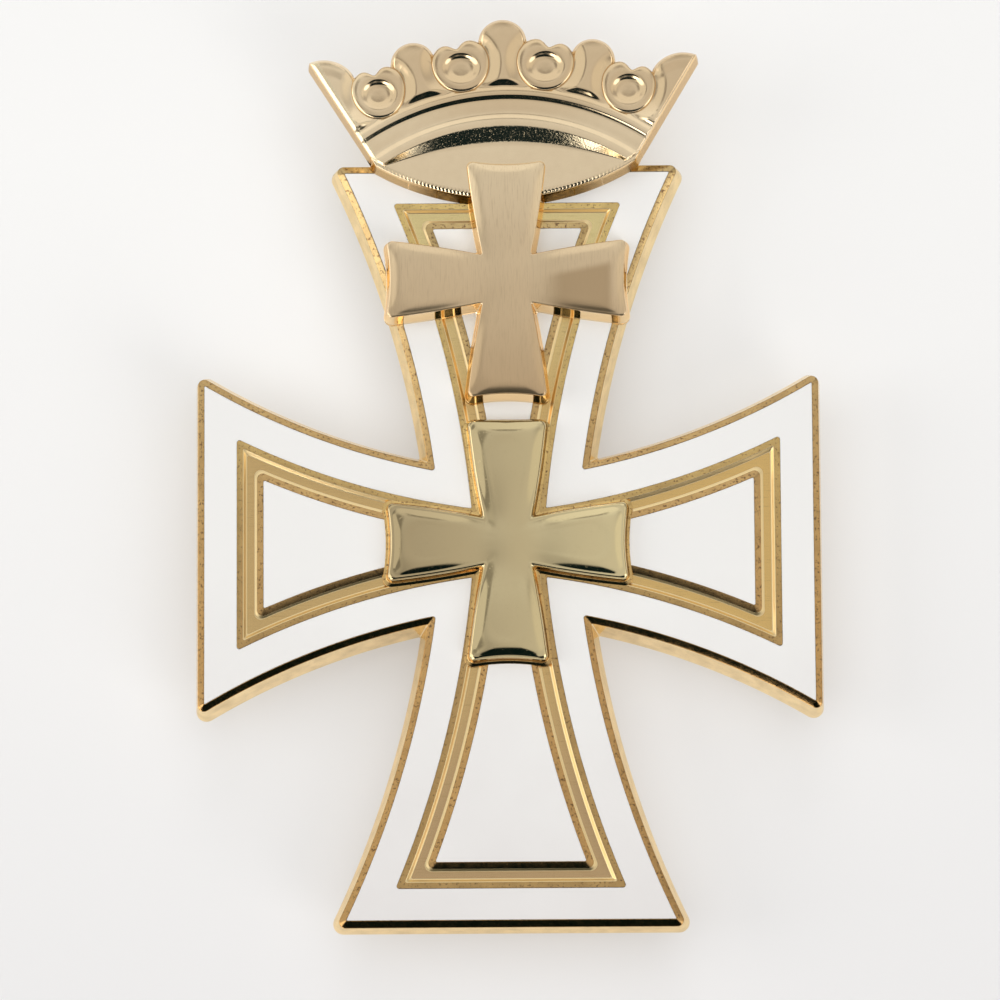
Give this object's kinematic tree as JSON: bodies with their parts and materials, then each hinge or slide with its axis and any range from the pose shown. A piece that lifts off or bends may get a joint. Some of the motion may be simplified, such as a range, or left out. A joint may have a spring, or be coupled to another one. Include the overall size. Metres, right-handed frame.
{
  "type": "merit cross",
  "caption": "Breast badge: a white enamelled cross with hollow sides, small gilt crosses and an open crown, on a brooch fitting.",
  "frame": {"origin": "on the surface that the badge lies on, below the middle of its outline", "axes": "+Y from the lowest arm to the crown, +Z out of the front face, +X to the viewer's right"},
  "size_m": [0.0452, 0.066, 0.0079],
  "materials": {
    "gilt_plate": "gilt struck metal, polished rims and a brushed channel floor",
    "white_enamel": "hard white enamel, stoned flush and glossy",
    "polished_gilt": "polished pale gilt",
    "satin_gilt": "satin gilt with fine brushing along the upright",
    "crown_gilt": "pale polished gilt, struck in relief",
    "fitting_gilt": "plain gilt"
  },
  "bodies": {
    "root": {"base_cross": "gilt_plate", "outer_enamel": "white_enamel", "inner_enamel": "white_enamel", "centre_cross": "polished_gilt", "upper_cross": "satin_gilt", "crown": "crown_gilt", "brooch_pin": "fitting_gilt"}
  },
  "joints": []
}
